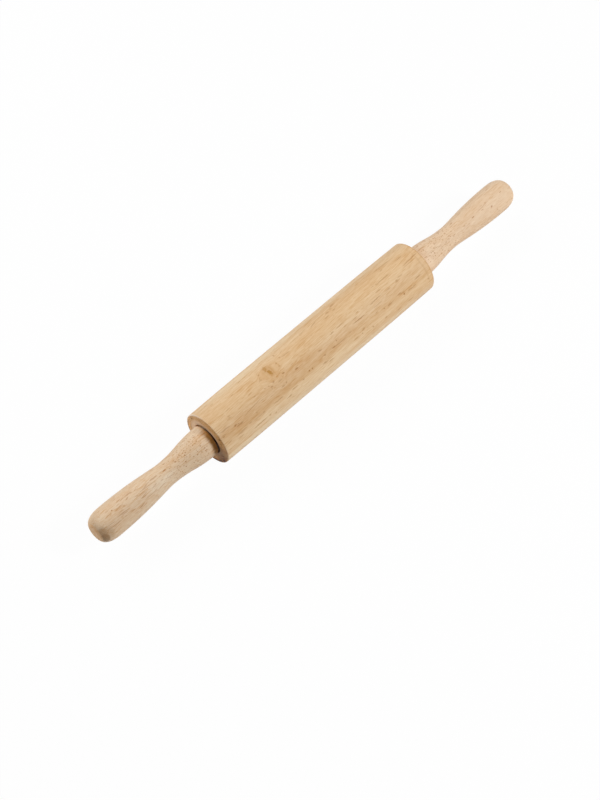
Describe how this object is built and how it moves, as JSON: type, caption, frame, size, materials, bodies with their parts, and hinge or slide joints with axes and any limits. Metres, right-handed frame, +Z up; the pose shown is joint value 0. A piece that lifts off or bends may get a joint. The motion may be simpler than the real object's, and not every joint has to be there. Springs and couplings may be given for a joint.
{
  "type": "rolling pin",
  "caption": "Wooden rolling pin for dough: a straight turned barrel spins freely on a steel rod between waisted wooden handles.",
  "frame": {"origin": "under the middle of the barrel, on the surface that the pin rests on", "axes": "+X along the pin's axis towards handle_right, +Z up, +Y away from a user who holds the pin"},
  "size_m": [0.498, 0.05, 0.05],
  "materials": {
    "barrel_wood": "plain sanded rubberwood, lightly oiled",
    "handle_wood": "plain sanded rubberwood, pale, with short open pores",
    "rod_steel": "bright drawn bar",
    "nylon": "natural white nylon"
  },
  "bodies": {
    "roller": {"barrel": "barrel_wood", "bush_left": "nylon", "bush_right": "nylon"},
    "spindle": {"axle_rod": "rod_steel", "handle_left": "handle_wood", "handle_right": "handle_wood", "washer_left": "nylon", "washer_right": "nylon"}
  },
  "joints": [
    {"name": "spindle_spin", "type": "hinge", "parent": "roller", "child": "spindle", "pos_m": [0, 0, 0.025], "axis": [1, 0, 0], "continuous": true}
  ]
}
